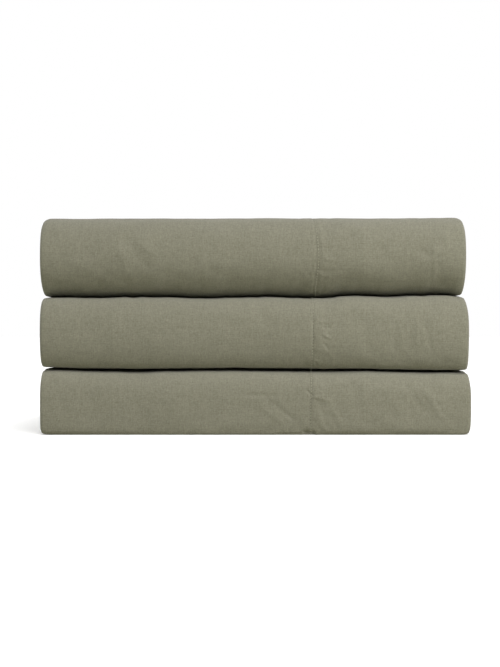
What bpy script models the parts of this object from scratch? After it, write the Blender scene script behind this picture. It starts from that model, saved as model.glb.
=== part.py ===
"""Stack of three folded linen duvet covers.

Each cover is a strip of many plies folded in half three times, so it lies in eight layers:
four turns nest at the front, and at the back the strip turns again or ends.
Every turn is one closed body. Millimetre gaps part the bodies that would touch.
+X is the width, -Y the front fold, +Z up.
"""
import math

import bmesh
import bpy

# Driving sizes, metres
STACK_NAME = "folded_duvet_cover_stack"
DEPTH = 0.275               # front fold to rear lobe
LEFT_END = -0.194           # the three left ends line up
COVERS = (                  # name, folded thickness, right end, seam position along X
    ("bottom", 0.0593, 0.1940, 0.0500),
    ("middle", 0.0645, 0.1920, 0.0520),
    ("top", 0.0701, 0.1895, 0.0545),
)
GAP = 0.0003                # clearance between neighbouring bodies
FOLD_ROUNDNESS = 0.80       # how far a fold reaches out, as a share of its half height
END_RUN = 0.0090            # length of the softened left and right ends
END_DROP = 0.0050           # how much each face drops at those ends
PLAN_DROP = 0.0050          # how much the front and back pull in at those ends
THREAD_RADIUS = 0.00045     # hem thread, as one line
THREAD_SINK = 0.0001        # how far the thread lies below the cloth's face
SHORT_TOP_LAYER = 0.0025    # the two free ends and the rear turn stop short of the rear lobe
SHORT_SECOND_LAYER = 0.0060
SHORT_REAR_TURN = 0.0035
TURNS = 4                   # nested turns at the front
ARC_STEPS = 10              # segments of an outer half round
END_STEPS = 4               # rings of a softened end

LINEN = (0.262, 0.254, 0.190)
HEM_LINEN = (0.285, 0.277, 0.212)
INNER_LINEN = (0.235, 0.228, 0.170)
THREAD = (0.330, 0.320, 0.250)
CLOTH_ROUGHNESS = 0.95
THREAD_ROUGHNESS = 0.80


def clear_scene():
    for old in list(bpy.data.objects):
        bpy.data.objects.remove(old, do_unlink=True)


def cloth_material(name, colour, roughness):
    material = bpy.data.materials.new(name)
    material.use_nodes = True
    shader = material.node_tree.nodes["Principled BSDF"]
    shader.inputs["Base Color"].default_value = (*colour, 1.0)
    shader.inputs["Roughness"].default_value = roughness
    shader.inputs["Metallic"].default_value = 0.0
    material.diffuse_color = (*colour, 1.0)
    return material


def half_round(centre_y, reach, half, side, steps):
    """Points (y, z) of a half ellipse from its upper to its lower end; side -1 bulges to the front."""
    points = []
    for i in range(steps + 1):
        angle = math.pi * i / steps
        points.append((centre_y + side * reach * math.sin(angle), half * math.cos(angle)))
    return points


def turn_section(half, outer, inner, upper_back, lower_back):
    """A front turn between two nested boundaries, each given as a share of the cover's half height."""
    fold_y = -DEPTH / 2 + FOLD_ROUNDNESS * half
    trim_out = 0.0 if outer == 1.0 else GAP / 2
    half_out, half_in = outer * half - trim_out, inner * half + GAP / 2
    reach_out = outer * FOLD_ROUNDNESS * half - trim_out
    reach_in = inner * FOLD_ROUNDNESS * half + GAP / 2
    steps = ARC_STEPS if inner > 0 else ARC_STEPS - 4
    outside = half_round(fold_y, reach_out, half_out, -1, steps)
    inside = half_round(fold_y, reach_in, half_in, -1, steps if inner > 0 else 4)
    return ([(upper_back, half_out)] + outside + [(lower_back, -half_out), (lower_back, -half_in)]
            + inside[::-1] + [(upper_back, half_in)])


def rear_section(centre_z, half, inner_half, start_y, tip_y):
    """A rear turn: a half round that bulges back, hollow where another turn nests in it."""
    outside = half_round(start_y, tip_y - start_y, half, 1, ARC_STEPS - 2)
    points = [(y, centre_z + z) for y, z in outside]
    if inner_half > 0:
        reach = inner_half / half * (tip_y - start_y)
        inside = half_round(start_y, reach, inner_half, 1, ARC_STEPS - 2)
        points += [(y, centre_z + z) for y, z in inside[::-1]]
    return points


def soft_end(end, inward, run, drop):
    """Stations (x, drop) of a rounded end, outermost first."""
    stations = []
    for i in range(END_STEPS + 1):
        angle = math.pi / 2 * i / END_STEPS
        stations.append((end + inward * run * (1 - math.cos(angle)), drop * (1 - math.sin(angle))))
    return stations


def loft(name, section, stations, half, material, collection, parent):
    """Sweep a section along X; each station draws it in towards the cover's middle."""
    mesh = bpy.data.meshes.new(name)
    bm = bmesh.new()
    rings = []
    for x, drop in stations:
        tall = 1 - drop / half
        deep = 1 - drop * (PLAN_DROP / END_DROP) / (DEPTH / 2)
        rings.append([bm.verts.new((x, y * deep, z * tall)) for y, z in section])
    count = len(section)
    for near, far in zip(rings, rings[1:]):
        for i in range(count):
            j = (i + 1) % count
            bm.faces.new((near[i], near[j], far[j], far[i]))
    bm.faces.new(rings[0])
    bm.faces.new(rings[-1])
    bmesh.ops.recalc_face_normals(bm, faces=bm.faces[:])
    bm.to_mesh(mesh)
    bm.free()
    for face in mesh.polygons:
        face.use_smooth = len(face.vertices) == 4
    mesh.materials.append(material)
    piece = bpy.data.objects.new(name, mesh)
    collection.objects.link(piece)
    piece.parent = parent
    return piece


def hem_thread(name, half, seam_x, upper_back, lower_back, material, collection, parent):
    """The hem's thread: one round line over the top, down the front fold and back underneath."""
    inset = THREAD_SINK + THREAD_RADIUS
    fold_y = -DEPTH / 2 + FOLD_ROUNDNESS * half
    path = [(upper_back - inset, half - inset)]
    path += half_round(fold_y, FOLD_ROUNDNESS * half - inset, half - inset, -1, ARC_STEPS)
    path += [(lower_back - inset, -half + inset)]
    line = bpy.data.curves.new(name, "CURVE")
    line.dimensions = "3D"
    line.bevel_depth = THREAD_RADIUS
    line.bevel_resolution = 1
    line.use_fill_caps = True
    spline = line.splines.new("POLY")
    spline.points.add(len(path) - 1)
    for point, (y, z) in zip(spline.points, path):
        point.co = (seam_x, y, z, 1.0)
    piece = bpy.data.objects.new(name, line)
    collection.objects.link(piece)
    line.materials.append(material)
    piece.parent = parent
    return piece


def folded_cover(name, thickness, right_end, seam_x, base_z, collection):
    half = thickness / 2
    layer = half / TURNS
    body = bpy.data.objects.new(name + "_cover", None)
    body.empty_display_size = 0.05
    body.location = (0.0, 0.0, base_z + half)
    collection.objects.link(body)

    back = DEPTH / 2
    lobe_reach = FOLD_ROUNDNESS * 2 * layer
    turn_reach = FOLD_ROUNDNESS * layer
    lobe_y = back - lobe_reach
    turn_y = back - SHORT_REAR_TURN - turn_reach
    layer_stop = lobe_y - GAP
    left, right = soft_end(LEFT_END, 1, END_RUN, END_DROP), soft_end(right_end, -1, END_RUN, END_DROP)[::-1]
    slot = THREAD_RADIUS + GAP
    seam_left, seam_right = [(seam_x - slot, 0.0)], [(seam_x + slot, 0.0)]

    def piece(part, section, stations, colour):
        node = name + "_" + part
        material = cloth_material(node + "_linen", colour, CLOTH_ROUGHNESS)
        return loft(node, section, stations, half, material, collection, body)

    outermost = turn_section(half, 1.0, 3 / TURNS, back - SHORT_TOP_LAYER, layer_stop)
    piece("outer_cloth", outermost, left + seam_left, LINEN)
    piece("hem_band", outermost, seam_right + right, HEM_LINEN)
    thread = cloth_material(name + "_hem_stitching_thread", THREAD, THREAD_ROUGHNESS)
    hem_thread(name + "_hem_stitching", half, seam_x, back - SHORT_TOP_LAYER, layer_stop, thread, collection, body)

    full = left + right
    piece("second_turn", turn_section(half, 3 / TURNS, 2 / TURNS, back - SHORT_SECOND_LAYER, layer_stop),
          full, INNER_LINEN)
    piece("third_turn", turn_section(half, 2 / TURNS, 1 / TURNS, turn_y - GAP, layer_stop), full, INNER_LINEN)
    piece("core_turn", turn_section(half, 1 / TURNS, 0.0, turn_y - GAP, layer_stop), full, INNER_LINEN)

    lobe_z, turn_z = -2 * layer, layer
    outer_half = 2 * layer - GAP / 2
    piece("rear_lobe_outer", rear_section(lobe_z - GAP / 4, outer_half + GAP / 4, layer + GAP / 2, lobe_y, back),
          full, LINEN)
    piece("rear_lobe_inner", rear_section(lobe_z, layer - GAP / 2, 0.0, lobe_y, lobe_y + turn_reach - GAP / 2),
          full, INNER_LINEN)
    piece("rear_turn", rear_section(turn_z, layer - GAP / 2, 0.0, turn_y, turn_y + turn_reach), full, LINEN)


def build():
    clear_scene()
    collection = bpy.data.collections.new(STACK_NAME)
    bpy.context.scene.collection.children.link(collection)
    base_z = 0.0
    for name, thickness, right_end, seam_x in COVERS:
        folded_cover(name, thickness, right_end, seam_x, base_z, collection)
        base_z += thickness + GAP


build()
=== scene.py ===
"""Three folded washed-linen duvet covers in a stack.

Each cover is a strip of about twelve plies folded in half three times. It is built turn by turn:
a turn is a ring in the YZ plane, carried along X and closed at both ends by the rounded edges of its plies.
"""
import math

import bpy
import numpy as np
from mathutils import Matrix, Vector

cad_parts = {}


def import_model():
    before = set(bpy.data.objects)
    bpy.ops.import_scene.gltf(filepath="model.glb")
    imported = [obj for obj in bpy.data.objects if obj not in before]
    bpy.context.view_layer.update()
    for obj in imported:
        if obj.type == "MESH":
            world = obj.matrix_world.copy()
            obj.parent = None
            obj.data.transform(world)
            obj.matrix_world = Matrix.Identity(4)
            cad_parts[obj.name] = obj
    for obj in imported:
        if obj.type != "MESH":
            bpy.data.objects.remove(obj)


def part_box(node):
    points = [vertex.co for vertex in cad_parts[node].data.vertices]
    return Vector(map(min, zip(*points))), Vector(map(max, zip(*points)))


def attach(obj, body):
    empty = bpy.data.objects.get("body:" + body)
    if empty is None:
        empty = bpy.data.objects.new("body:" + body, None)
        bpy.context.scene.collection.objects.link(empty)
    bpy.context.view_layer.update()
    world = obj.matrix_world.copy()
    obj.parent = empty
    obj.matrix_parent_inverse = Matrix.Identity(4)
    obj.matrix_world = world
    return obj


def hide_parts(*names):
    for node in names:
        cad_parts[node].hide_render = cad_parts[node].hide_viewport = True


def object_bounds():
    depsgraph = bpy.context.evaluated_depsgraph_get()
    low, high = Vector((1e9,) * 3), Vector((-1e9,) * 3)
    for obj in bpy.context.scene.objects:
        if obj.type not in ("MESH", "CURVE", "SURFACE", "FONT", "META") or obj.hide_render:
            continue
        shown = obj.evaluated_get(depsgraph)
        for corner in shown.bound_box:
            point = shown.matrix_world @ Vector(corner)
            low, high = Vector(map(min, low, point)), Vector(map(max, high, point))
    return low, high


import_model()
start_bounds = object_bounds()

MM = 0.001
COVERS = ("bottom", "middle", "top")
LAYERS = 8                      # strip layers in a folded cover
ROUNDNESS = 0.80                # reach of a fold as a share of its half height
PLY_LOOP = 1.35 * MM            # two plies and the small loop that joins them
LOOP_STATIONS = 5               # stations along X for each ply loop of a soft end
PLY_SLACK = 0.12 * MM           # air on each face of an inner turn
TURN_CLEARANCE = 0.2 * MM       # how far a turn stops short of the rear turns
END_CLEARANCE = 0.6 * MM        # from a soft end to the first station of the face
PLAN_RUN, PLAN_DROP = 3.0 * MM, 1.6 * MM   # softening of the ends seen from above
WRINKLE_SHARE = 0.62            # how much of the simulated wrinkle height is kept
STITCH_PITCH = 2.75 * MM
STITCH_START = 2 * MM           # where the first stitch begins, from the cloth's free edge
STITCH_SIDE = {"top": 2.2 * MM, "middle": 0.3 * MM, "bottom": 0.3 * MM}    # from the seam, into the hem
HOLE_REACH = 1.5 * MM           # how far a needle hole's painted shade is recorded to either side
THREAD_PITCH = 0.62 * MM        # yarn spacing of the linen
LINEN = (0.199, 0.1925, 0.1445)  # washed sage, at its middle shade
FIBRE = (0.199, 0.195, 0.160)   # added where a yarn is lighter, taken off where darker
YARN_SCALES = (                 # stretch of each yarn noise along x and y: short both ways, fine, long slubs
    (2600.0, 420.0, 30.0), (460.0, 2600.0, 30.0), (1700.0, 1700.0, 30.0),
    (1900.0, 75.0, 30.0), (75.0, 1900.0, 30.0),
)
THREAD = (0.32, 0.31, 0.235)    # sewing thread, paler than the cloth
NOISE_CELLS = 61                # lattice cells each way before the noise repeats
CAMERA_DISTANCE = 1.6675        # metres in front of the stack
CAMERA_SIDE, CAMERA_HEIGHT = -5.0 * MM, 91.25 * MM
FLOOR_SIZE = 40.0               # half the floor's width, in metres
AMBIENT = 0.08                  # strength of the light from all round
FLOOR_GLOW = 0.22               # strength of the floor's glow, as the camera sees it
FLOOR_BOUNCE = (0.61, 0.61, 0.50, 1)    # the light it sends back up, warmed by the cloth
SUNS = (                        # name, azimuth, elevation, softness in degrees, strength
    ("key", 14.0, 57.0, 28.0, 2.55),
    ("left side", -80.0, 28.0, 40.0, 0.55),
    ("behind", 195.0, 50.0, 40.0, 0.92),
)
NEAR_LAMP = ((0.95, -0.95, 0.62), 0.5, 10.5)   # place, size and power of the lamp close on the right


# ---- camera
def new_object(name, data):
    """A new object in the scene, made from its data."""
    thing = bpy.data.objects.new(name, data)
    bpy.context.scene.collection.objects.link(thing)
    return thing


def set_camera():
    """Level with the stack, a long lens, a little left of the stack's middle and a little below it."""
    data = bpy.data.cameras.new("camera")
    data.lens, data.sensor_width, data.sensor_fit = 100.0, 36.0, "AUTO"
    camera = new_object("camera", data)
    camera.location = (CAMERA_SIDE, start_bounds[0].y - CAMERA_DISTANCE, CAMERA_HEIGHT)
    camera.rotation_euler = (math.radians(90), 0, 0)
    bpy.context.scene.camera = camera


# ---- noise and small shapes
def smooth(t):
    """An eased step from 0 to 1."""
    t = np.clip(t, 0, 1)
    return t * t * t * (t * (t * 6 - 15) + 10)


def noise(u, v, seed):
    """Smooth repeatable noise from -1 to 1, one lattice cell to the unit."""
    size = NOISE_CELLS
    table = np.random.default_rng(seed).uniform(-1, 1, (size, size))
    u, v = np.broadcast_arrays(np.asarray(u, float), np.asarray(v, float))
    i, j = np.floor(u).astype(int), np.floor(v).astype(int)
    fu, fv = smooth(u - i), smooth(v - j)
    i0, j0, i1, j1 = i % size, j % size, (i + 1) % size, (j + 1) % size
    low = table[i0, j0] * (1 - fu) + table[i1, j0] * fu
    high = table[i0, j1] * (1 - fu) + table[i1, j1] * fu
    return low * (1 - fv) + high * fv


def turned_noise(x, s, across, along, angle, seed):
    """Noise with its own cell sizes, turned by an angle so that no lattice lines up with the cloth."""
    c, n = math.cos(angle), math.sin(angle)
    return noise((x * c + s * n) / across + 17.3, (s * c - x * n) / along + 9.1, seed)


def ridge(x, s, at, to, width, height):
    """A soft ridge (or, with a negative height, a crease) between two points of the cloth."""
    (x0, s0), (x1, s1) = at, to
    length = math.hypot(x1 - x0, s1 - s0)
    dx, ds = (x1 - x0) / length, (s1 - s0) / length
    along = (x - x0) * dx + (s - s0) * ds
    across = (s - s0) * dx - (x - x0) * ds
    fade = smooth((along + width) / (2 * width)) * smooth((length + width - along) / (2 * width))
    return height * fade * np.exp(-(across / width) ** 2)


# ---- sizes, all from the CAD frame
class Cover:
    """One folded cover's sizes, read from its CAD nodes."""

    def __init__(self, name, number):
        self.name, self.number = name, number
        main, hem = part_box(name + "_outer_cloth"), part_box(name + "_hem_band")
        lobe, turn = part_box(name + "_rear_lobe_outer"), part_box(name + "_rear_turn")
        self.left, self.right = main[0].x, hem[1].x
        self.seam = (main[1].x + hem[0].x) / 2
        self.front, self.back = main[0].y, lobe[1].y
        self.half = (main[1].z - main[0].z) / 2
        self.middle = (main[1].z + main[0].z) / 2
        self.layer = self.half * 2 / LAYERS
        self.free_end = main[1].y
        self.second_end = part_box(name + "_second_turn")[1].y
        self.lobe_root = lobe[0].y
        self.turn_root, self.turn_tip = turn[0].y, turn[1].y
        self.body = name + "_cover"


# the front fold's reach and squareness, upper half then lower half; 1 is a plain ellipse, less is squarer
FOLD_SHAPE = {
    "top": {"reach": (0.75, 0.95), "square": (0.90, 1.00)},
    "middle": {"reach": (0.62, 0.45), "square": (0.85, 1.00)},
    "bottom": {"reach": (0.62, 0.18), "square": (0.85, 0.55)},
}

# the soft ends in mm: how the corners draw in as (run, upper drop, lower drop), and how far the ends
# round away from the front's middle as (left, upper right, lower right)
END_SHAPE = {
    "top": {"drop": (8.0, 4.6, 1.0), "lens": (0.5, 0.8, 0.4)},
    "middle": {"drop": (5.5, 2.0, 1.2), "lens": (0.5, 2.2, 0.2)},
    "bottom": {"drop": (7.0, 1.7, 2.6), "lens": (0.5, 1.2, 1.0)},
}

# how far the front folds part at each contact, from the lowest up, in mm below it and above it
PARTING = ((1.6, 0.7), (1.1, 1.2))
PARTING_DEPTH = (18 * MM, 45 * MM)      # open back to the first depth behind the front, closed at the second

# how deep the stitches sink, as (mm round the fold, mm deep)
SEAM_DEPTH = {
    "top": ((-75, 0.85), (-52, 0.45), (-34, 0.12), (-18, 0.1), (0, 0.08), (12, 0.05), (24, 0.1), (40, 0.14)),
    "middle": (
        (-60, 0.3), (-26, 0.08), (-12, 0.16), (-2, 0.25), (4, 0.5), (12, 0.52), (17, 0.08), (40, 0.12),
    ),
    "bottom": ((-60, 0.15), (-22, 0.04), (-8, 0.05), (0, 0.18), (12, 0.15), (20, 0.05), (40, 0.08)),
}

# where the seam's line strays from the CAD seam, as (mm round the fold, mm across), zero at the fold's tip
SEAM_WANDER = {
    "top": ((-70, -2.0), (-38, -2.8), (-22, -1.3), (-8, -0.1), (2, 0.7), (14, -1.0), (27, -2.1), (60, -2.0)),
    "middle": ((-60, -0.5), (-30, -0.9), (-20, -0.2), (-2, -0.2), (13, -0.4), (24, -1.5), (60, -0.8)),
    "bottom": ((-60, -0.3), (-20, 0.0), (0, -0.5), (20, -0.5), (60, -0.3)),
}

# how each contact and the top of the stack wander, as (x mm, height mm) along the front
CONTACTS = (
    (
        (-192, 0.4), (-160, -0.4), (-104, -1.3), (-16, 0.2), (20, -0.6), (55, -0.9), (105, -0.9),
        (156, -1.9), (192, -2.2),
    ),
    (
        (-192, 0.6), (-140, 0.4), (-85, 1.35), (-45, -0.15), (5, 1.45), (48, -0.05), (64, 0.25), (85, 2.5),
        (115, 1.5), (168, 2.95), (192, 1.7),
    ),
    ((-192, 1.4), (-120, 1.7), (-40, 2.0), (60, 1.9), (140, 1.8), (182, 2.3), (192, 1.7)),
)

# creases and puckers on each front: from and to as (x mm, height mm) from the cover's middle, then
# the width and the height of the ridge in mm, below zero for a crease
FEATURES = {
    "top": [
        ((-117, 18), (-95, -12), 5.6, -0.85), ((-124, 10), (-113, -20), 4.4, 0.50),
        ((-104, 12), (-92, 2), 3.0, 0.35), ((62, -2), (71, -4), 1.3, 0.30),
        ((59, -17), (67, -18), 1.5, 0.30), ((56, -11), (68, -14), 2.0, -0.34),
        ((172.4, 30), (172.0, 7), 1.8, 0.45), ((161.6, 8), (161, -24), 1.9, 0.45),
        ((145, 5), (157, -2), 4.0, -0.65), ((-20, 30), (-24, -26), 9.0, -0.80),
        ((-52, 26), (-46, -24), 5.0, 0.50), ((95, 28), (99, -20), 8.0, 0.70),
    ],
    "middle": [
        ((58, 10.6), (66, 10.0), 1.3, 0.65), ((60, 5.4), (68, 4.6), 1.3, -0.56),
        ((60.6, -1), (67.5, -5), 1.3, 0.65), ((62.0, -9), (66, -15), 1.4, -0.56),
        ((125.6, 10), (125, -16), 2.0, -0.50), ((131, 4), (133, -16), 2.0, 0.40),
        ((144.5, 14), (146, -12), 2.0, 0.42), ((152, 10), (158, -14), 2.6, -0.50),
        ((-80, 3), (-50, 3.4), 1.7, -0.22), ((-130, 24), (-126, -20), 8.0, 0.75),
        ((10, 20), (4, -22), 9.0, -0.70), ((97, 12), (101, -18), 4.0, -0.50),
    ],
    "bottom": [
        ((-9.5, 6), (17.6, 6.2), 2.0, -0.55), ((8.6, 4), (34, -15.5), 2.2, -0.60),
        ((2, -2), (26, -20), 2.6, 0.40), ((45.5, 12), (51, 6), 1.3, -0.70),
        ((51, 5), (66.6, 1.6), 1.4, 0.42), ((50, 3), (66, -1), 2.3, -0.26),
        ((56, -2), (72, -3), 2.4, -0.22), ((136, 17), (152, -9), 3.2, -0.62),
        ((150, 16), (168, -14), 3.2, 0.57), ((162, 2), (170, -12), 2.4, -0.42),
        ((-150, 18), (-146, -20), 8.0, -0.60), ((-70, 22), (-66, -18), 9.0, 0.65),
        ((96, 18), (100, -16), 5.0, 0.50), ((43, -28.4), (53, -28.4), 2.2, -2.0),
        ((18, -28.8), (42, -28.8), 1.2, -0.9),
    ],
}

# noises as (height in mm, cell across and along in metres, angle, seed)
UNDULATION = ((0.70, 0.052, 0.090, 0.10, 1), (0.45, 0.023, 0.060, -0.16, 2), (0.20, 0.011, 0.024, 0.35, 3))
CRUMPLE = ((0.055, 0.0052, 0.0070, 0.6, 4), (0.025, 0.0026, 0.0030, -0.5, 5))
PUCKERS = ((0.12, 0.013, 0.0044, 0.25, 6), (0.17, 0.0034, 0.0026, 0.4, 13))
CREASE_PATHS = ((1.0, 0.060, 0.085, 0.7, 9), (0.35, 0.020, 0.030, 0.4, 10))
BRIM = ((0.34, 0.0085, 0.030, 0.15, 12),)     # where a front turns into the top and the underside


# ---- rings
class Ring:
    """A closed section of a turn: points, outward normals, cloth coordinate and where each point lies."""

    def __init__(self, outer, cap_after, inner, cap_before):
        parts = [outer, cap_after, inner[::-1], cap_before]
        self.counts = [len(p) for p in parts]
        self.points = np.concatenate([p[:, :2] for p in parts])
        self.run = np.concatenate([p[:, 2] for p in parts])
        self.face = np.concatenate([np.full(len(p), k) for k, p in enumerate(parts)])
        after, before = np.roll(self.points, -1, 0), np.roll(self.points, 1, 0)
        way = after - before
        normal = np.stack([way[:, 1], -way[:, 0]], 1)
        self.normal = normal / np.linalg.norm(normal, axis=1)[:, None]

    def length(self):
        """How long the outer face is, round the fold."""
        return self.run[self.counts[0] - 1] - self.run[0]


def straight(y0, y1, z, step):
    """Points along a flat face; the last one is left out."""
    count = max(2, int(abs(y1 - y0) / step))
    return [(y, z) for y in np.linspace(y0, y1, count, endpoint=False)]


def fold_arc(tip, half, side, count, reach, square=(1.0, 1.0)):
    """A fold from its upper to its lower edge. reach and square are (upper half, lower half)."""
    out = []
    for angle in np.linspace(0, math.pi, count):
        c, n = math.cos(angle), math.sin(angle)
        low = angle > math.pi / 2
        r, p = reach[int(low)], square[int(low)]
        out.append((tip + side * r * (abs(n) ** p - 1), half * math.copysign(abs(c) ** p, c)))
    return out


def with_run(points, tip):
    """Adds the distance along the cloth, zero at the fold's tip."""
    p = np.array(points, float)
    run = np.concatenate([[0], np.cumsum(np.linalg.norm(np.diff(p, axis=0), axis=1))])
    return np.column_stack([p, run - run[tip]])


def cap(start, stop, out_way, count=13):
    """The cut or folded edge between two faces: plies side by side, each pair rounded."""
    (y0, z0, r0), (y1, z1) = start, stop[:2]
    wide = math.hypot(y1 - y0, z1 - z0)
    loops = max(2, round(wide / PLY_LOOP))
    rows = []
    for t in np.linspace(0, 1, count * loops // 3)[1:-1]:
        bump = abs(math.sin(math.pi * t * loops)) ** 0.6 * 0.45 * MM
        edge = (1 - (2 * t - 1) ** 4) * 0.8 * MM
        rows.append((y0 + (y1 - y0) * t + out_way * (bump + edge), z0 + (z1 - z0) * t, r0 + wide * t))
    return np.array(rows)


def front_ring(cover, outer, inner, upper_end, lower_end, arc_count, step, under_step):
    """A front turn: over the top, round the front and back underneath, then back along its inside.

    outer and inner are its half heights as shares of the cover's, step the spacing of its points.
    """
    shape = FOLD_SHAPE[cover.name]

    def path(share, trim):
        half = share * cover.half + trim
        reach = [share * r * cover.half + trim for r in shape["reach"]]
        tip = cover.front + (1 - share) * ROUNDNESS * cover.half - trim
        top = straight(upper_end, tip + reach[0], half, step)
        arc = fold_arc(tip, half, -1, arc_count, reach, shape["square"])
        low = straight(tip + reach[1], lower_end, -half, under_step)[1:] + [(lower_end, -half)]
        return with_run(top + arc + low, len(top) + arc_count // 2)

    out = path(outer, 0.0 if outer == 1.0 else -PLY_SLACK)
    within = path(max(inner, 0.004), PLY_SLACK if inner > 0 else 0.0)
    return Ring(out, cap(out[-1], within[-1], 1), within, cap(within[0], out[0], 1))


def rear_ring(centre_z, root, tip, half, inner_half, arc_count):
    """A rear turn: a half round bulging back."""
    reach = tip - root
    share = max(inner_half, 0.004 * MM) / half
    out = with_run(fold_arc(tip, half, 1, arc_count, (reach, reach)), arc_count // 2)
    inside = fold_arc(root + reach * share, half * share, 1, arc_count, (reach * share, reach * share))
    within = with_run(inside, arc_count // 2)
    out[:, 1] += centre_z
    within[:, 1] += centre_z
    ring = Ring(out, cap(out[-1], within[-1], -0.1, 7), within, cap(within[0], out[0], -0.1, 7))
    ring.normal *= -1                # this one is walked the other way round
    return ring


# ---- how the cloth lies
def seam_x(cover, s):
    """The seam's own gentle wander."""
    fine = 0.25 * turned_noise(np.zeros_like(s), s, 0.03, 0.012, 0.0, 40 + cover.number)
    return cover.seam + MM * (wander(s, SEAM_WANDER[cover.name]) + fine)


def noises(x, s, waves, n):
    """The sum of several noises, in mm."""
    return sum(height * turned_noise(x, s, across, along, angle, n + seed)
               for height, across, along, angle, seed in waves)


def broad_creases(x, s, n):
    """Long creases with a raised lip, in patches. They follow the zero line of a slow noise."""
    wide = noises(x, s, CREASE_PATHS, n)
    crease = -1.90 * np.exp(-(wide / 0.085) ** 2) + 0.80 * np.exp(-((wide - 0.17) / 0.10) ** 2)
    return crease * smooth(0.5 + turned_noise(x, s, 0.07, 0.06, 0.2, n + 11))


def seam_shape(cover, x, s, n):
    """The stitched groove, and the cloth that stands up and puckers beside it, both in mm."""
    away = (x - seam_x(cover, s)) / MM
    uneven = 1 + 0.35 * turned_noise(0 * s, s, 0.02, 0.004, 0.0, n + 8)
    sunk = wander(s, SEAM_DEPTH[cover.name]) * uneven
    groove = -sunk * np.exp(-(away / 0.42) ** 2)
    lips = (0.06 + 0.45 * sunk) * np.exp(-((away - 2.0) / 1.4) ** 2)
    lips += (0.04 + 0.30 * sunk) * np.exp(-((away + 1.8) / 1.3) ** 2)
    pull = np.exp(-(np.abs(away - 3.0) / 8.0) ** 1.3)
    return groove, lips + pull * noises(x, s, PUCKERS, n)


def relief(cover, x, s, face_weight, seed):
    """How far the cloth stands out of its ideal face, in metres: undulation, creases and the seam."""
    n = 100 * seed + 10 * cover.number
    broad = smooth((np.abs(s) - 45 * MM) / (25 * MM))
    brim = np.exp(-((np.abs(s) - 1.25 * cover.half) / (9 * MM)) ** 2)
    groove, raised = seam_shape(cover, x, s, n)
    cloth = noises(x, s, UNDULATION, n) * (1 + 1.3 * broad) + noises(x, s, CRUMPLE, n)
    cloth = cloth + brim * noises(x, s, BRIM, n) + broad * broad_creases(x, s, n) + raised
    return (cloth * face_weight + groove * (0.35 + 0.65 * face_weight)) * MM


def features(cover, x, s, run_of_height):
    """The listed creases and puckers on the front fold."""
    total = np.zeros_like(x)
    for (xa, za), (xb, zb), width, height in FEATURES[cover.name]:
        at = (xa * MM, run_of_height(za * MM))
        to = (xb * MM, run_of_height(zb * MM))
        total += ridge(x, s, at, to, width * MM, height * MM)
    return total


def wander(x, knots):
    """A smooth line through a few listed places, in mm."""
    places, heights = zip(*knots)
    at = np.clip(x / MM, places[0], places[-1])
    total, weight = np.zeros_like(at), np.zeros_like(at)
    for shift in (-9, -4.5, 0, 4.5, 9):
        total = total + np.interp(at + shift, places, heights) * (10 - abs(shift))
        weight = weight + (10 - abs(shift))
    return total / weight


def settle(x, y, z):
    """The shared lie of the stack: each contact between covers is slightly wavy, and the floor is flat."""
    levels = [0.0] + [c.middle + c.half for c in covers]
    front = smooth((20 * MM - y) / (120 * MM))
    notches = 0.38 * turned_noise(x, y, 0.0075, 0.060, 0.1, 75) * front
    waves = [
        wander(x, CONTACTS[0]) * front + 0.15 * turned_noise(x, y, 0.030, 0.10, 0.1, 71),
        wander(x, CONTACTS[1]) * front + 0.25 * turned_noise(x, y, 0.020, 0.10, 0.2, 73) + notches,
        wander(x, CONTACTS[2]) + 0.30 * turned_noise(x, y, 0.090, 0.12, 0.3, 74) * (1 - front),
    ]
    shift = np.zeros_like(z)
    for k, wave in enumerate(waves):
        below, here = levels[k:k + 2]
        share = np.clip((z - below) / (here - below), 0, 1)
        if k + 2 < len(levels):
            above = levels[k + 2]
            share = np.minimum(share, np.clip((above - z) / (above - here), 0, 1))
        shift += share * wave * MM
    return z + shift


def parting(cover, y, z):
    """How much slimmer the front fold is than the stack behind it, so that the contacts open as dark gaps."""
    near, far = PARTING_DEPTH
    front = smooth((cover.front + far - y) / (far - near))
    upper = PARTING[cover.number][0] if cover.number < len(PARTING) else 0.0
    lower = PARTING[cover.number - 1][1] if cover.number > 0 else 0.0
    return np.where(z > 0, upper, lower) * MM * front * smooth(np.abs(z) / cover.half)


def sway(cover, x, layer_set):
    """How far the edges of one set of layers stray backwards or forwards behind the stack, in metres."""
    n = 600 + 10 * cover.number + layer_set
    long_wave = 1.1 * turned_noise(x, 0 * x, 0.090, 0.05, 0.0, n)
    return (long_wave + 0.35 * turned_noise(x, 0 * x, 0.026, 0.05, 0.0, n + 5)) * MM


def end_columns(deep):
    """Stations of one soft end as (how far in from the end, how deep below the face), innermost first."""
    loops = max(2, round(deep / PLY_LOOP))
    rows = []
    for t in np.linspace(0, 1, loops * LOOP_STATIONS + 1):
        bump = abs(math.sin(math.pi * t * loops)) ** 0.55
        inset = 0.62 * MM * (1 - bump) + 0.35 * MM * (1 - t) ** 2 - 0.45 * MM
        rows.append((inset, deep * t * 0.985))
    return rows[::-1]


def stations_along(x0, x1, columns, deep, soft_left, soft_right):
    """Where the ring stands along X: rows of x, depth below the face, and -1 left, 0 face or 1 right."""
    stations = [(x, 0.0, 0.0) for x in columns]
    if soft_left:
        stations = [(x0 + inset, depth, -1.0) for inset, depth in end_columns(deep)] + stations
    if soft_right:
        stations += [(x1 - inset, depth, 1.0) for inset, depth in end_columns(deep)[::-1]]
    return np.array(stations)


def end_rounding(cover, xs, run):
    """How far a soft end has rounded away: 1 at the cover's very ends, 0 a short run further in."""
    total = np.zeros_like(xs)
    for end, way in ((cover.left, 1), (cover.right, -1)):
        inside = np.clip((xs - end) * way / run, 0, 1)
        total = total + (1 - np.sqrt(1 - (1 - inside) ** 2))
    return total


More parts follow.
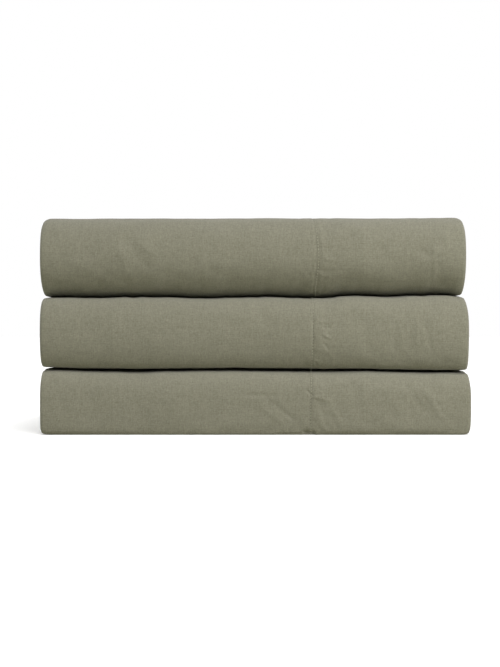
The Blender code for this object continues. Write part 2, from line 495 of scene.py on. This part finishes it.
def drawn_in(cover, ring, stations, x0, x1, soft_left, soft_right, seed):
    """The x of every point: the ends are lens shaped from the front, and their plies don't quite line up."""
    xs, depth, side = stations
    rel = np.clip(ring.points[:, 1] / cover.half, -1, 1)
    left, upper_right, lower_right = END_SHAPE[cover.name]["lens"]
    left_in = left * MM * rel ** 4
    right_in = np.where(rel > 0, upper_right, lower_right) * MM * np.abs(rel) ** 3
    across, down = ring.run / 0.045 + 3 * ring.face, depth / (2.6 * MM) + seed * 5.1
    slip = 0.35 * MM * noise(across, down, 500 + cover.number) * smooth(depth / (0.8 * MM))
    if seed > 1:
        slip = slip + MM * (0.5 + 0.6 * noise(ring.run / 0.080 + seed * 2.3, 0.5, 520 + cover.number))
    x = xs + np.where(side < 0, left_in + slip, 0) - np.where(side > 0, right_in + slip, 0)
    near_left = soft_left * smooth(1 - (x - x0) / 0.03)
    near_right = soft_right * smooth(1 - (x1 - x) / 0.03)
    return x + np.where(side == 0, near_left * left_in - near_right * right_in, 0)


def standing_out(cover, ring, x, s, on_face, detail, seed, wrinkles):
    """How far each point of the outer face stands out of its ideal place, in metres."""
    if not detail:
        return np.zeros_like(x)
    y, z = ring.points.T
    brims = 0.45 * smooth((cover.front + 24 * MM - y) / (10 * MM)) * faces_cover(cover, z)
    weight = np.maximum(contact_weight(cover, z), brims) * on_face * detail
    fade = np.clip(np.minimum((x - cover.left), (cover.right - x)) / (7 * MM), 0, 1)
    out = relief(cover, x, s, weight * (0.35 + 0.65 * fade), seed) * on_face
    if wrinkles is not None:
        out = out + features(cover, x, s, run_lookup(cover, ring)) * on_face * fade
        out = out + WRINKLE_SHARE * wrinkles(x, s) * weight
    return out


def ring_faces(ring, rows):
    """The quads round and along a carried ring and across its ends, and the ngons that close its caps."""
    count = len(ring.run)
    i, j = np.meshgrid(np.arange(rows - 1), np.arange(count), indexing="ij")
    here, beside = i * count + j, i * count + (j + 1) % count
    faces = [np.stack([here, beside, beside + count, here + count], -1).reshape(-1, 4)]
    n_out, n_cap, n_in, n_cap2 = ring.counts
    last = n_out + n_cap + n_in - 1         # the inner face's point opposite the outer face's first
    for row, flip in ((0, False), (rows - 1, True)):
        a = row * count + np.arange(n_out - 1)
        partner = row * count + last - np.arange(n_out - 1)
        zip_up = np.stack([a, partner, partner - 1, a + 1], -1)
        faces.append(zip_up[:, ::-1] if flip else zip_up)
    loops = [list(range(n_out - 1, n_out + n_cap + 1)), [(last + q) % count for q in range(n_cap2 + 2)]]
    ngons = [loop[::-1] for loop in loops]
    ngons += [[(rows - 1) * count + q for q in loop] for loop in loops]
    return np.concatenate(faces), ngons


def carry(name, cover, ring, x0, x1, columns, soft_left=True, soft_right=True, detail=1.0, seed=1,
          wrinkles=None, sets=(0, 3)):
    """Carries a ring along X and closes its ends with ply edges. Returns the mesh object."""
    table = stations_along(x0, x1, columns, cover.layer / 2, soft_left, soft_right)
    xs, depth, side = table[:, :1], table[:, 1:2], table[:, 2:]
    x = drawn_in(cover, ring, (xs, depth, side), x0, x1, soft_left, soft_right, seed)
    s = np.broadcast_to(ring.run, x.shape)
    on_face = (ring.face == 0) & (side == 0)
    y, z = ring.points.T
    out = standing_out(cover, ring, x, s, on_face, detail, seed, wrinkles) - depth

    end_run, upper, lower = END_SHAPE[cover.name]["drop"]
    drop = np.where(z > 0, upper, lower) * MM * end_rounding(cover, xs, end_run * MM) + parting(cover, y, z)
    tall = 1 - drop / cover.half
    broad = 1 - PLAN_DROP * end_rounding(cover, xs, PLAN_RUN) / abs(cover.front)
    behind = smooth((y - 30 * MM) / (90 * MM))
    strayed = np.where(z > 0, sway(cover, x, sets[0]), sway(cover, x, sets[1])) * behind
    back = (y + ring.normal[:, 0] * out) * broad + strayed
    up = settle(x, back, (z + ring.normal[:, 1] * out) * tall + cover.middle)

    quads, ngons = ring_faces(ring, len(table))
    verts = np.stack([x, back, up], -1).reshape(-1, 3)
    lie = np.stack([x + depth * side, s, depth + 0 * x + 0.01 * ring.face + 0.05 * seed], -1)
    piece = mesh_object(name, verts, quads, ngons, lie, cover)
    # records where the needle holes' painted shade falls on the outer cloth
    if wrinkles is not None:
        aside = np.abs(x - seam_x(cover, s) - STITCH_SIDE[cover.name])
        near = np.clip(1 - aside / HOLE_REACH, 0, 1) * on_face
        along = (s - ring.run[0] - STITCH_START) / STITCH_PITCH
        record(piece.data, "stitch", np.stack([near, along, 0 * x], -1))
    return piece


def record(mesh, name, values):
    """Stores a vector for each point of the mesh, for the materials to read."""
    attribute = mesh.attributes.new(name, "FLOAT_VECTOR", "POINT")
    attribute.data.foreach_set("vector", values.astype(np.float32).ravel())


def mesh_object(name, verts, quads, ngons, cloth, cover):
    """A smooth mesh that rides on a cover's body; cloth is where each point lies in the flat cloth."""
    mesh = bpy.data.meshes.new(name)
    mesh.from_pydata(verts.tolist(), [], quads.tolist() + ngons)
    record(mesh, "cloth", cloth)
    mesh.polygons.foreach_set("use_smooth", np.ones(len(mesh.polygons), bool))
    mesh.update()
    piece = new_object(name, mesh)
    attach(piece, cover.body)
    return piece


def contact_weight(cover, z):
    """Full relief on open faces, little where the covers press together or on the floor."""
    if cover.name == "top":
        above = 1 - 0.65 * smooth((z / cover.half - 0.72) / 0.28)
    else:
        above = smooth((cover.half - z) / (4 * MM))
    below = smooth((z + cover.half) / (4 * MM))
    return above * below


def faces_cover(cover, z):
    """1 where a fold looks at another cover, 0 towards the floor or the open air."""
    return np.where(z > 0, float(cover.name != "top"), float(cover.name != "bottom"))


def run_lookup(cover, ring):
    """Turns a height on the front fold into the cloth coordinate there."""
    n = ring.counts[0]
    z, run = ring.points[:n, 1], ring.run[:n]
    keep = np.abs(z) < cover.half * 0.9999
    return lambda height: float(np.interp(-height, -z[keep], run[keep]))


def fine_columns(cover, x0, x1):
    """Stations across a face: close beside the seam and at the soft ends, wider elsewhere."""
    xs, x = [], x0
    while x < x1:
        xs.append(x)
        gap = abs(x - cover.seam)
        edge = min(x - cover.left, cover.right - x)
        step = 0.30 if gap < 4.4 * MM else 0.7 if gap < 20 * MM else 0.9 if edge < 36 * MM else 1.3
        x += step * MM
    return xs[1:] if len(xs) > 2 else xs


def coarse_columns(x0, x1):
    """Stations across a face that is hidden, close together only at its ends."""
    near_end = [e * MM for e in (0.8, 2.0, 3.5, 5.5, 9.0)]
    between = list(np.linspace(x0 + 20 * MM, x1 - 20 * MM, 35))
    return [x0 + e for e in near_end] + between + [x1 - e for e in near_end[::-1]]


# ---- cloth simulation
SIM_SCALE = 10.0                # times life size, where the solver's contact gaps are small
SIM_FRAMES = 14
SIM_REACH = 62 * MM             # how far round the fold, each way from its tip
SLACK, TIGHT = 0.020, 0.012     # share the cloth grows beside the seam, and shrinks on it


def shrinkage(cover, x, s):
    """Washed cloth: tight on the stitched line, loose beside it, and looser in patches elsewhere."""
    away = (x - seam_x(cover, s) - STITCH_SIDE[cover.name]) / MM
    beside = np.where(away > 0, np.exp(-(away / 16) ** 2), 0.55 * np.exp(-(away / 9) ** 2))
    patches = 0.30 * np.clip(turned_noise(x, s, 0.030, 0.022, 0.5, 900 + cover.number), 0, 1)
    return TIGHT * np.exp(-(away / 1.6) ** 2) - SLACK * (beside + patches) * (1 - np.exp(-(away / 2.2) ** 2))


def wrap_columns(cover):
    """Stations of the simulated cloth along X, closer together beside the seam."""
    xs, x = [], cover.left
    while x < cover.right - 1 * MM:
        xs.append(x)
        x += (1.3 if abs(x - cover.seam) < 26 * MM else 3.0) * MM
    return np.array(xs + [cover.right])


def make_core(cover, place, normal):
    """The stiff turn beneath, 0.4 mm inside the cloth and a little longer than it."""
    line = (place - normal * 0.4 * MM) * SIM_SCALE
    ends = ((cover.left - 10 * MM) * SIM_SCALE, (cover.right + 10 * MM) * SIM_SCALE)
    rows = len(line)
    points = [(x, y, z) for x in ends for y, z in line]
    core = plain_object("core", points, [(k, k + 1, rows + k + 1, rows + k) for k in range(rows - 1)])
    core.modifiers.new("solid", "COLLISION")
    core.collision.thickness_outer, core.collision.thickness_inner = 0.001, 0.03
    return core


def set_groups(cloth, share):
    """Holds the edges of the cloth, and says how much each point of it shrinks."""
    hold, tight = cloth.vertex_groups.new(name="hold"), cloth.vertex_groups.new(name="tight")
    rows, columns = share.shape
    for r in range(rows):
        for c in range(columns):
            edge = r in (0, rows - 1) or c in (0, columns - 1)
            hold.add([r * columns + c], 1.0 if edge else 0.02, "REPLACE")
            tight.add([r * columns + c], float(share[r, c]), "REPLACE")


def run_cloth(cloth):
    """Steps the simulation and returns where each point of the cloth ends."""
    for number in range(1, SIM_FRAMES + 1):
        bpy.context.scene.frame_set(number)
    shaped = cloth.evaluated_get(bpy.context.evaluated_depsgraph_get())
    moved = np.zeros(len(cloth.data.vertices) * 3, np.float32)
    shaped.to_mesh().vertices.foreach_get("co", moved)
    shaped.to_mesh_clear()
    return moved


def pressed_wrinkles(cover, ring):
    """Simulates the outer cloth over the turn beneath it; gives the wrinkle height at any place."""
    n = ring.counts[0]
    xs, stations = wrap_columns(cover), np.arange(-SIM_REACH, SIM_REACH, 1.5 * MM)
    place = np.stack([np.interp(stations, ring.run[:n], ring.points[:n, k]) for k in (0, 1)], 1)
    normal = np.stack([np.interp(stations, ring.run[:n], ring.normal[:n, k]) for k in (0, 1)], 1)
    rows, columns = len(stations), len(xs)
    start = np.zeros((rows, columns, 3))
    start[..., 0], start[..., 1], start[..., 2] = xs[None, :], place[:, :1], place[:, 1:]
    start *= SIM_SCALE
    i, j = np.meshgrid(np.arange(rows - 1), np.arange(columns - 1), indexing="ij")
    a = (i * columns + j).ravel()
    cloth = plain_object("wrap", start.reshape(-1, 3), np.stack([a, a + columns, a + columns + 1, a + 1], 1))
    core = make_core(cover, place, normal)

    x, s = np.meshgrid(xs, stations)
    loosest = -1.4 * SLACK          # the most that any point grows
    set_groups(cloth, np.clip((shrinkage(cover, x, s) - loosest) / (TIGHT - loosest), 0, 1))
    set_cloth(cloth.modifiers.new("cloth", "CLOTH"), loosest)
    move = (run_cloth(cloth).reshape(rows, columns, 3) - start) / SIM_SCALE
    height = move[..., 1] * normal[:, :1] + move[..., 2] * normal[:, 1:]
    for piece in (cloth, core):
        mesh = piece.data
        bpy.data.objects.remove(piece)
        bpy.data.meshes.remove(mesh)
    bpy.context.scene.frame_set(1)
    height -= np.median(height)
    fade = smooth((SIM_REACH - np.abs(stations)) / (14 * MM))[:, None]
    return grid_lookup(xs, stations, height * fade)


def plain_object(name, points, faces):
    """A bare mesh object, for the simulation only."""
    mesh = bpy.data.meshes.new(name)
    mesh.from_pydata([tuple(p) for p in np.asarray(points, float)], [], [tuple(map(int, f)) for f in faces])
    mesh.update()
    return new_object(name, mesh)


def set_cloth(solver, loosest):
    """Firm washed linen, no gravity: the uneven shrinkage does the wrinkling."""
    how = solver.settings
    how.quality, how.mass = 6, 0.3
    how.tension_stiffness = how.compression_stiffness = 18
    how.shear_stiffness, how.bending_stiffness = 8, 2
    how.tension_damping = how.compression_damping = how.shear_damping = 8
    how.bending_damping, how.air_damping = 0.8, 2
    how.vertex_group_mass, how.pin_stiffness = "hold", 1.0
    how.vertex_group_shrink, how.shrink_min, how.shrink_max = "tight", loosest, TIGHT
    how.effector_weights.gravity = 0.0
    touch = solver.collision_settings
    touch.use_collision, touch.use_self_collision = True, False
    touch.distance_min, touch.collision_quality = 0.001, 1
    solver.point_cache.frame_start, solver.point_cache.frame_end = 1, SIM_FRAMES


def cell_share(line, at):
    """The cell of a line of stations that each place lies in, and how far across it, eased."""
    cell = np.clip(np.searchsorted(line, at) - 1, 0, len(line) - 2)
    t = (at - line[cell]) / (line[cell + 1] - line[cell])
    return cell, smooth(t) * 0.5 + 0.5 * np.clip(t, 0, 1)


def grid_lookup(xs, ss, values):
    """Reads a grid of values smoothly at any x and s; zero outside the grid."""
    def at(x, s):
        c, u = cell_share(xs, x)
        r, v = cell_share(ss, s)
        near = values[r, c] * (1 - u) + values[r, c + 1] * u
        far = values[r + 1, c] * (1 - u) + values[r + 1, c + 1] * u
        return (near * (1 - v) + far * v) * (np.abs(s) < SIM_REACH)
    return at


# ---- materials
def set_inputs(node, values):
    """Sets the values of a node's sockets, by their names."""
    for title, value in values.items():
        node.inputs[title].default_value = value


class Nodes:
    """Lays out a node tree."""

    def __init__(self, tree):
        self.tree, self.column = tree, 0

    def add(self, kind, **values):
        """A new node with some of its properties set."""
        node = self.tree.nodes.new(kind)
        self.column += 1
        node.location = (self.column * 180 - 2400, -(self.column % 5) * 160)
        for key, value in values.items():
            setattr(node, key, value)
        return node

    def link(self, a, b):
        self.tree.links.new(a, b)

    def noise(self, vector, scale, **settings):
        """A noise texture; settings are its other sockets by name. Returns its outputs."""
        node = self.add("ShaderNodeTexNoise")
        set_inputs(node, {"Scale": scale, **settings})
        self.link(vector, node.inputs["Vector"])
        return node.outputs

    def scaled(self, vector, factor, shift=None):
        """A vector times a fixed vector, plus another vector if one is given."""
        node = self.add("ShaderNodeVectorMath", operation="MULTIPLY_ADD" if shift else "MULTIPLY")
        self.link(vector, node.inputs[0])
        node.inputs[1].default_value = factor
        if shift:
            self.link(shift, node.inputs[2])
        return node.outputs[0]

    def math(self, operation, a, b=None, c=None, clamp=False):
        """A sum on up to three values, each a number or a socket. Returns its output."""
        node = self.add("ShaderNodeMath", operation=operation, use_clamp=clamp)
        for index, value in enumerate((a, b, c)):
            if value is None:
                continue
            if isinstance(value, (int, float)):
                node.inputs[index].default_value = value
            else:
                self.link(value, node.inputs[index])
        return node.outputs[0]


def new_group(name, takes, gives):
    """A node group with a vector input and value outputs: it, its nodes, its input and its end."""
    tree = bpy.data.node_groups.new(name, "ShaderNodeTree")
    tree.interface.new_socket(takes, in_out="INPUT", socket_type="NodeSocketVector")
    for title in gives:
        tree.interface.new_socket(title, in_out="OUTPUT", socket_type="NodeSocketFloat")
    n = Nodes(tree)
    start, end = n.add("NodeGroupInput"), n.add("NodeGroupOutput")
    return tree, n, start.outputs[takes], end


def weave_height(n, cloth):
    """The crossing yarns of a plain weave, 0 to 1, from coordinates in metres along the two yarns."""
    split = n.add("ShaderNodeSeparateXYZ")
    n.link(cloth, split.inputs[0])
    turn = 2 * math.pi / THREAD_PITCH
    across = n.math("MULTIPLY", split.outputs["X"], turn)
    along = n.math("MULTIPLY", split.outputs["Y"], turn)
    warp = n.math("MULTIPLY_ADD", n.math("COSINE", across), 0.5, 0.5)
    weft = n.math("MULTIPLY_ADD", n.math("COSINE", along), 0.5, 0.5)
    half_x = n.math("SINE", n.math("MULTIPLY", across, 0.5))
    half_y = n.math("SINE", n.math("MULTIPLY", along, 0.5))
    over = n.math("MULTIPLY_ADD", n.math("MULTIPLY", half_x, half_y), 2.0, 0.5, clamp=True)
    mixed = n.add("ShaderNodeMix")
    n.link(over, mixed.inputs[0])
    n.link(warp, mixed.inputs[2])
    n.link(weft, mixed.inputs[3])
    return mixed.outputs[0]


def weave_group():
    """Plain weave with uneven yarns: its height, and how light or dark each yarn is."""
    tree, n, cloth, end = new_group("linen_weave", "Cloth", ("Height", "Yarn Shade"))
    drift = n.noise(cloth, 160.0, Detail=1.0)["Color"]
    n.link(weave_height(n, n.scaled(drift, (0.7 * MM, 0.7 * MM, 0.0), cloth)), end.inputs["Height"])
    shades = []
    for scale in YARN_SCALES:
        shades.append(n.noise(n.scaled(cloth, scale), 1.0, Detail=2.0)["Fac"])
    crossed = n.math("MULTIPLY", n.math("ADD", shades[0], shades[1]), 0.36)
    slubs = n.math("MULTIPLY_ADD", n.math("ADD", shades[3], shades[4]), 0.13, crossed)
    n.link(n.math("MULTIPLY_ADD", shades[2], 0.02, slubs), end.inputs["Yarn Shade"])
    return tree


def wash_group():
    """Uneven washed colour: broad pale and dark clouds, 0 to 1."""
    tree, n, cloth, end = new_group("washed_clouds", "Cloth", ("Cloud",))
    n.link(n.noise(cloth, 34.0, Detail=5.0, Roughness=0.62)["Fac"], end.inputs["Cloud"])
    return tree


def hole_shade_group():
    """Painted shade in the needle holes at both ends of every stitch: 0 away from them, 1 in a hole."""
    tree, n, stitch, end = new_group("needle_hole_shade", "Stitch", ("Hole Shade",))
    split = n.add("ShaderNodeSeparateXYZ")
    n.link(stitch, split.inputs[0])
    # the painted shade is full within 0.12 mm of the line of stitches, gone at 0.42 mm
    aside = n.math("MULTIPLY_ADD", split.outputs["X"], 5.0, -3.6, clamp=True)
    beat = n.math("COSINE", n.math("MULTIPLY", split.outputs["Y"], 2 * math.pi))
    spot = n.math("MULTIPLY_ADD", beat, 1.6, -0.35, clamp=True)
    n.link(n.math("MULTIPLY", aside, spot), end.inputs["Hole Shade"])
    return tree


def new_material(name, roughness, sheen):
    """A material with its nodes and its shader, which gets its roughness and sheen."""
    material = bpy.data.materials.new(name)
    material.use_nodes = True
    shader = material.node_tree.nodes["Principled BSDF"]
    set_inputs(shader, {"Roughness": roughness, "Sheen Weight": sheen})
    return material, Nodes(material.node_tree), shader


def linen_material(name, weave, wash, shade=1.0, holes=None):
    """Washed linen: the weave and the clouds shade one colour, with painted shade in the weave's hollows.
    shade darkens the whole colour as painted shade; holes paints shade into the needle holes of a seam.
    """
    material, n, shader = new_material(name, 0.92, 0.18)
    set_inputs(shader, {"Specular IOR Level": 0.25, "Sheen Roughness": 0.55})
    lie = n.add("ShaderNodeAttribute", attribute_name="cloth")
    threads, clouds = n.add("ShaderNodeGroup", node_tree=weave), n.add("ShaderNodeGroup", node_tree=wash)
    n.link(lie.outputs["Vector"], threads.inputs["Cloth"])
    n.link(lie.outputs["Vector"], clouds.inputs["Cloth"])
    yarn = n.math("MULTIPLY_ADD", threads.outputs["Yarn Shade"], 1.88, 0.06)
    body = n.math("MULTIPLY_ADD", clouds.outputs["Cloud"], 0.10, 0.95)
    # painted shade: the weave's low places between the yarns are darker
    painted_pit_shade = n.math("MULTIPLY_ADD", threads.outputs["Height"], 0.22, 0.86)
    # painted shade: shade darkens the whole colour, for the linen of the turns inside
    factor = n.math("MULTIPLY", n.math("MULTIPLY", yarn, body), n.math("MULTIPLY", painted_pit_shade, shade))
    # painted shade: the colour is darkened in the needle holes along the seam
    if holes:
        marks = n.add("ShaderNodeAttribute", attribute_name="stitch")
        needle = n.add("ShaderNodeGroup", node_tree=holes)
        n.link(marks.outputs["Vector"], needle.inputs["Stitch"])
        factor = n.math("MULTIPLY", factor, n.math("MULTIPLY_ADD", needle.outputs["Hole Shade"], -0.38, 1.0))
    tint = n.add("ShaderNodeVectorMath", operation="MULTIPLY_ADD")
    n.link(n.math("SUBTRACT", factor, 1.0), tint.inputs[0])
    tint.inputs[1].default_value = FIBRE
    tint.inputs[2].default_value = LINEN
    n.link(tint.outputs[0], shader.inputs["Base Color"])
    bump = n.add("ShaderNodeBump")
    set_inputs(bump, {"Strength": 0.55, "Distance": 0.22 * MM})
    tall = n.math("MULTIPLY_ADD", threads.outputs["Yarn Shade"], 1.6, threads.outputs["Height"])
    n.link(tall, bump.inputs["Height"])
    n.link(bump.outputs["Normal"], shader.inputs["Normal"])
    return material


def thread_material():
    """Sewing thread, a little lighter and darker along its twist."""
    material, n, shader = new_material("hem_thread", 0.75, 0.15)
    place = n.add("ShaderNodeTexCoord")
    twist = n.noise(place.outputs["Object"], 1800.0)["Fac"]
    tint = n.add("ShaderNodeVectorMath", operation="SCALE")
    tint.inputs[0].default_value = THREAD
    n.link(n.math("MULTIPLY_ADD", twist, 0.5, 0.75), tint.inputs["Scale"])
    n.link(tint.outputs[0], shader.inputs["Base Color"])
    return material


# ---- stage
def seen_by_camera(n, other, seen, surface):
    """Shows one shader to the camera and lights the scene with the other."""
    path, mixed = n.add("ShaderNodeLightPath"), n.add("ShaderNodeMixShader")
    n.link(path.outputs["Is Camera Ray"], mixed.inputs[0])
    n.link(other.outputs[0], mixed.inputs[1])
    n.link(seen.outputs[0], mixed.inputs[2])
    n.link(mixed.outputs[0], surface)


def set_world():
    """A white backdrop, and a faint warm light from all round."""
    world = bpy.data.worlds.new("studio")
    bpy.context.scene.world = world
    world.use_nodes = True
    n = Nodes(world.node_tree)
    soft, backdrop = world.node_tree.nodes["Background"], n.add("ShaderNodeBackground")
    set_inputs(soft, {"Color": (1.0, 0.98, 0.90, 1.0), "Strength": AMBIENT})
    set_inputs(backdrop, {"Color": (1.0, 1.0, 1.0, 1.0)})
    seen_by_camera(n, soft, backdrop, world.node_tree.nodes["World Output"].inputs["Surface"])


def set_floor():
    """A plain pale floor just below the stack; it sends up light of a warmer colour than it shows."""
    mesh = bpy.data.meshes.new("floor")
    corners = [(x * FLOOR_SIZE, y * FLOOR_SIZE, 0) for x, y in ((-1, -1), (1, -1), (1, 1), (-1, 1))]
    mesh.from_pydata(corners, [], [(0, 1, 2, 3)])
    floor = new_object("floor", mesh)
    floor.location.z = -0.2 * MM
    paint, n, shader = new_material("floor_paint", 0.95, 0.0)
    set_inputs(shader, {"Base Color": (0.92, 0.92, 0.92, 1), "Specular IOR Level": 0.1})
    set_inputs(shader, {"Emission Color": (1, 1, 1, 1), "Emission Strength": FLOOR_GLOW})
    bounce = n.add("ShaderNodeBsdfDiffuse")
    set_inputs(bounce, {"Color": FLOOR_BOUNCE})
    seen_by_camera(n, bounce, shader, paint.node_tree.nodes["Material Output"].inputs["Surface"])
    mesh.materials.append(paint)


def set_lamp(name, kind, energy, place, towards):
    """A lamp at a place, turned towards a point. Returns it and its data."""
    data = bpy.data.lights.new(name, kind)
    data.energy = energy
    lamp = new_object(name, data)
    lamp.location = place
    lamp.rotation_euler = (Vector(towards) - Vector(place)).to_track_quat("-Z", "Y").to_euler()
    return lamp, data


def set_stage():
    """The floor, the backdrop, three soft suns and one lamp close on the right."""
    bpy.context.scene.view_settings.view_transform = "Standard"
    set_world()
    set_floor()
    for name, azimuth, elevation, softness, strength in SUNS:
        a, e = math.radians(azimuth), math.radians(elevation)
        way = Vector((math.sin(a) * math.cos(e), -math.cos(a) * math.cos(e), math.sin(e)))
        lamp, data = set_lamp(name, "SUN", strength, way * 2.0, (0, 0, 0))
        data.angle = math.radians(softness)
    place, size, power = NEAR_LAMP
    lamp, data = set_lamp("near", "AREA", power, place, (0, -0.13, 0.1))
    data.size = size
    lamp.visible_camera = False


# ---- the pieces
def stitches(cover, ring, material):
    """A row of lockstitches sunk in the seam, over the top, down the front and back underneath."""
    n = ring.counts[0]
    run = ring.run[:n]
    course = (*ring.points[:n].T, *ring.normal[:n].T)
    starts = np.arange(run[0] + STITCH_START, run[-1] - 2 * MM, STITCH_PITCH)
    verts, quads = [], []
    sides, rings_each = 6, 6
    jitter = np.random.default_rng(7 + cover.number)
    for begin in starts:
        length = STITCH_PITCH * (0.80 + 0.06 * jitter.uniform(-1, 1))
        lean = 0.16 * MM * jitter.uniform(-1, 1)
        for r in range(rings_each):
            t = r / (rings_each - 1)
            s = begin + length * t
            arch = math.sin(math.pi * t)
            thick = 0.24 * MM * (0.35 + 0.65 * arch ** 0.5)
            x = float(seam_x(cover, np.array([s]))[0]) + STITCH_SIDE[cover.name] + lean * (2 * t - 1)
            proud = 0.14 * math.exp(-((s / MM + 7) / 11) ** 2) if cover.name == "top" else 0.0
            sunk = 0.45 * float(wander(np.array([s]), SEAM_DEPTH[cover.name])[0])
            lift = (0.30 * arch - 0.30 + proud - sunk) * MM
            y, z, out_y, out_z = (np.interp(s, run, line) for line in course)
            for q in range(sides):
                a = 2 * math.pi * q / sides
                across, out = thick * math.cos(a), lift + thick * math.sin(a)
                verts.append((x + across, y + out_y * out, z + out_z * out + cover.middle))
            if r:
                base = len(verts) - 2 * sides
                for q in range(sides):
                    beside = (q + 1) % sides
                    quads.append([base + q, base + beside, base + sides + beside, base + sides + q])
        first = len(verts) - sides * rings_each
        quads += [list(range(first + sides - 1, first - 1, -1)), list(range(len(verts) - sides, len(verts)))]
    verts = np.array(verts)
    verts[:, 2] = settle(verts[:, 0], verts[:, 1], verts[:, 2])
    none = np.zeros((0, 4), int)
    piece = mesh_object(cover.name + "_stitches", verts, none, quads, np.zeros_like(verts), cover)
    dress(piece, cover, "hem_stitching", material)
    return piece


def dress(piece, cover, node, material):
    """Gives a piece its material, and hides the CAD node that it stands for."""
    piece.data.materials.append(material)
    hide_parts(cover.name + "_" + node)


def outermost_turn(cover, cloth, thread):
    """The main cloth and the hem band, which are one turn with a seam in it, and the stitches in the seam."""
    step = 2.2 * MM if cover.name == "top" else 3.6 * MM
    lower_end = cover.lobe_root - TURN_CLEARANCE
    outer = front_ring(cover, 1.0, 0.75, cover.free_end, lower_end, 121, step, under_step=9 * MM)
    sewn = stitches(cover, outer, thread)
    wrinkles = pressed_wrinkles(cover, outer)
    main_columns = fine_columns(cover, cover.left + END_CLEARANCE, cover.seam) + [cover.seam]
    band_columns = [cover.seam] + fine_columns(cover, cover.seam, cover.right - END_CLEARANCE)
    main = carry(cover.name + "_main_cloth", cover, outer, cover.left, cover.seam, main_columns,
                 soft_right=False, wrinkles=wrinkles)
    band = carry(cover.name + "_hem_cloth", cover, outer, cover.seam, cover.right, band_columns,
                 soft_left=False, wrinkles=wrinkles)
    dress(main, cover, "outer_cloth", cloth)
    dress(band, cover, "hem_band", cloth)
    path = outer.length()


def inner_turns(cover, cloth):
    """The three turns inside the outermost one, each a quarter of the cover's half height slimmer."""
    third_end = cover.turn_root - TURN_CLEARANCE
    lower_end = cover.lobe_root - TURN_CLEARANCE
    turns = (                       # node, share of the half height, upper end, set of layers it belongs to
        ("second", 0.75, cover.second_end, 1), ("third", 0.50, third_end, 2), ("core", 0.25, third_end, 2),
    )
    for seed, (node, share, upper_end, upper_set) in enumerate(turns, 2):
        ring = front_ring(cover, share, share - 0.25, upper_end, lower_end, 25, 5 * MM, under_step=5 * MM)
        piece = carry(cover.name + "_" + node + "_cloth", cover, ring, cover.left, cover.right,
                      coarse_columns(cover.left, cover.right), detail=0, seed=seed, sets=(upper_set, 3))
        # cloth here is the linen with painted shade
        dress(piece, cover, node + "_turn", cloth)
        path = ring.length()


def rear_turns(cover, cloth, painted_shade_cloth):
    """The nested lobe and the single turn at the back, where the strip turns up from layer to layer."""
    layer, root = cover.layer, cover.lobe_root
    slim, width = layer - PLY_SLACK, cover.right - cover.left
    turns = (                       # node, its middle, half height outside and inside, root, tip, seed
        ("rear_lobe_outer", -2 * layer, layer + slim, layer + PLY_SLACK, root, cover.back, 6),
        ("rear_lobe_inner", -2 * layer, slim, 0.0, root, root + ROUNDNESS * layer, 7),
        ("rear_turn", layer, slim, 0.0, cover.turn_root, cover.turn_tip, 8),
    )
    for node, centre, size, hollow, start, tip, seed in turns:
        ring = rear_ring(centre, start, tip, size, hollow, arc_count=41)
        shown = node != "rear_lobe_inner"
        if shown:
            columns = fine_columns(cover, cover.left + END_CLEARANCE, cover.right - END_CLEARANCE)
        else:
            columns = coarse_columns(cover.left, cover.right)
        upper_set = 2 if node == "rear_turn" else 3
        piece = carry(cover.name + "_" + node + "_cloth", cover, ring, cover.left, cover.right, columns,
                      detail=0.8 if shown else 0, seed=seed, sets=(upper_set, 3))
        # the hidden inner lobe gets the linen with painted shade
        dress(piece, cover, node, cloth if shown else painted_shade_cloth)
        path = ring.length()


set_camera()
covers = [Cover(name, number) for number, name in enumerate(COVERS)]
set_stage()
weave, wash = weave_group(), wash_group()
outer_linen = linen_material("washed_linen", weave, wash, holes=hole_shade_group())
# the same linen painted darker as shade, for the turns inside and the hidden inner lobe
painted_shade_linen = linen_material("painted_shade_linen", weave, wash, shade=0.94)
hem_thread = thread_material()
for cover in covers:
    outermost_turn(cover, outer_linen, hem_thread)
    inner_turns(cover, painted_shade_linen)
    rear_turns(cover, outer_linen, painted_shade_linen)
